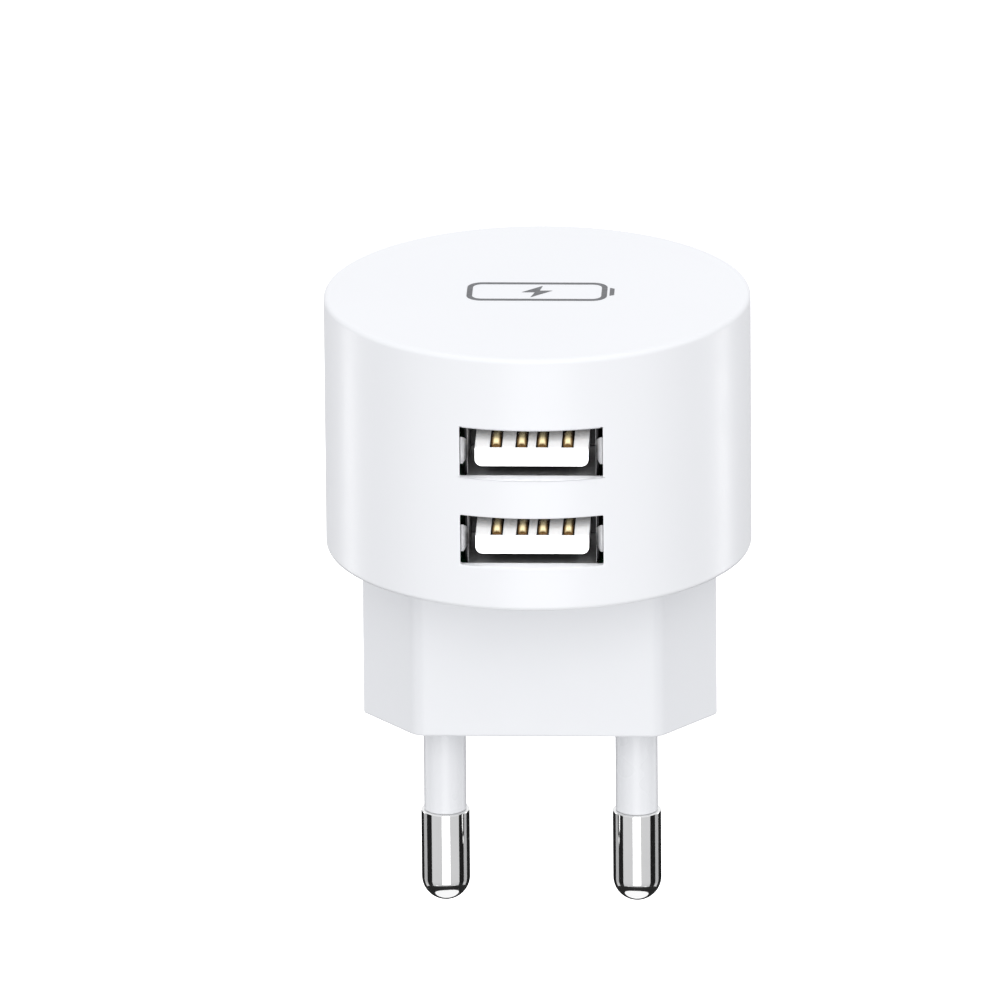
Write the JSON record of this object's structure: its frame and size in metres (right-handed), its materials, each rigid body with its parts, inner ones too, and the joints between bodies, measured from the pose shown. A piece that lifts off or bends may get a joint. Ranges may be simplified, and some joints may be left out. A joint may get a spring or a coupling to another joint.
{
  "type": "usb wall charger",
  "caption": "Round drum-shaped wall charger with stacked USB-A ports in its side, a six-sided neck and a round-pin plug below.",
  "frame": {"origin": "centre of the neck's flat face that meets the socket, midway between the pins", "axes": "+Z from the socket face towards the drum; the pins point along -Z and the USB ports face -Y; the pins are spaced along X"},
  "size_m": [0.042, 0.042, 0.0635],
  "materials": {
    "drum_plastic": "satin white moulded plastic",
    "base_plastic": "satin white moulded plastic",
    "sleeve_plastic": "smooth white nylon",
    "pin_metal": "bright nickel plate on brass",
    "strip_metal": "tinned phosphor bronze strip",
    "board_laminate": "green solder mask on glass laminate",
    "receptacle_metal": "nickel-plated sheet",
    "insulator_plastic": "white glass-filled plastic",
    "contact_metal": "gold flash on phosphor bronze",
    "ferrite": "ground ferrite",
    "bobbin_plastic": "black phenolic",
    "winding_tape": "yellow polyester tape",
    "tinned_metal": "tinned copper",
    "capacitor_sleeve": "shrink sleeve",
    "capacitor_can": "bare drawn can",
    "blue_lacquer": "dipped epoxy",
    "green_lacquer": "cement and lacquer",
    "chip_epoxy": "moulded epoxy",
    "chip_ceramic": "sintered ceramic with tinned ends",
    "print_ink": "grey pad-printed ink"
  },
  "bodies": {
    "charger": {"outer_shell": "drum_plastic", "plug_base": "base_plastic", "left_pin": "pin_metal", "right_pin": "pin_metal", "left_pin_sleeve": "sleeve_plastic", "right_pin_sleeve": "sleeve_plastic", "left_contact_spring": "strip_metal", "right_contact_spring": "strip_metal", "main_board": "board_laminate", "usb_board": "board_laminate", "upper_usb_shell": "receptacle_metal", "lower_usb_shell": "receptacle_metal", "upper_insulator": "insulator_plastic", "lower_insulator": "insulator_plastic", "upper_contact_tails": "contact_metal", "lower_contact_tails": "contact_metal", "core_upper": "ferrite", "core_lower": "ferrite", "bobbin": "bobbin_plastic", "winding": "winding_tape", "transformer_pins": "tinned_metal", "input_capacitor_1": "capacitor_sleeve", "input_capacitor_2": "capacitor_sleeve", "output_capacitor": "capacitor_can", "supply_capacitor": "capacitor_sleeve", "y_capacitor": "blue_lacquer", "fuse_resistor": "green_lacquer", "input_inductor": "ferrite", "bridge_rectifier": "chip_epoxy", "controller_chip": "chip_epoxy", "rectifier_diode": "chip_epoxy", "port_controller": "chip_epoxy", "chip_components": "chip_ceramic"},
    "upper_contacts": {"upper_contact_1": "contact_metal", "upper_contact_2": "contact_metal", "upper_contact_3": "contact_metal", "upper_contact_4": "contact_metal"},
    "lower_contacts": {"lower_contact_1": "contact_metal", "lower_contact_2": "contact_metal", "lower_contact_3": "contact_metal", "lower_contact_4": "contact_metal"}
  },
  "joints": [
    {"name": "upper_contacts_press", "type": "hinge", "parent": "charger", "child": "upper_contacts", "pos_m": [0, -0.01035, 0.03367], "axis": [1, 0, 0], "range_deg": [0, 3], "stiffness_Nm_per_rad": 0.4},
    {"name": "lower_contacts_press", "type": "hinge", "parent": "charger", "child": "lower_contacts", "pos_m": [0, -0.01035, 0.02462], "axis": [1, 0, 0], "range_deg": [0, 3], "stiffness_Nm_per_rad": 0.4}
  ]
}
